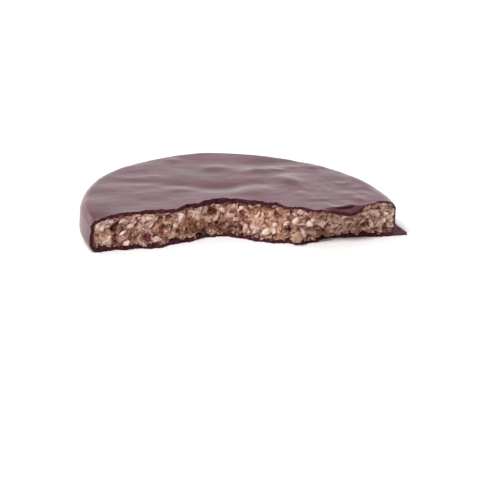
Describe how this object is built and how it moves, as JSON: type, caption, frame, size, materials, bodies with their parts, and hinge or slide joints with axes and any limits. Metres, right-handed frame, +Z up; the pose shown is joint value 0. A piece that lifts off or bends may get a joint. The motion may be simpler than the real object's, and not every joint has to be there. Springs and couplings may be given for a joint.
{
  "type": "chocolate coated protein cookie",
  "caption": "Round flat protein cookie in a thin dark chocolate coat, bitten across so that its coarse pale crumb filling shows; food that lies flat on its base.",
  "frame": {"origin": "centre of the bounding box's bottom face, on the surface that the cookie lies on", "axes": "+Z up, +X along the bite from its left to its right end as seen from the bitten side, -Y out of the bitten face"},
  "size_m": [0.0724, 0.041, 0.0085],
  "materials": {
    "chocolate": "satin dark chocolate, softly rippled on top",
    "crumb": "coarse moist crumb with pale nut nibs and a few red berry bits"
  },
  "bodies": {
    "root": {"coating": "chocolate", "filling": "crumb"}
  },
  "joints": []
}
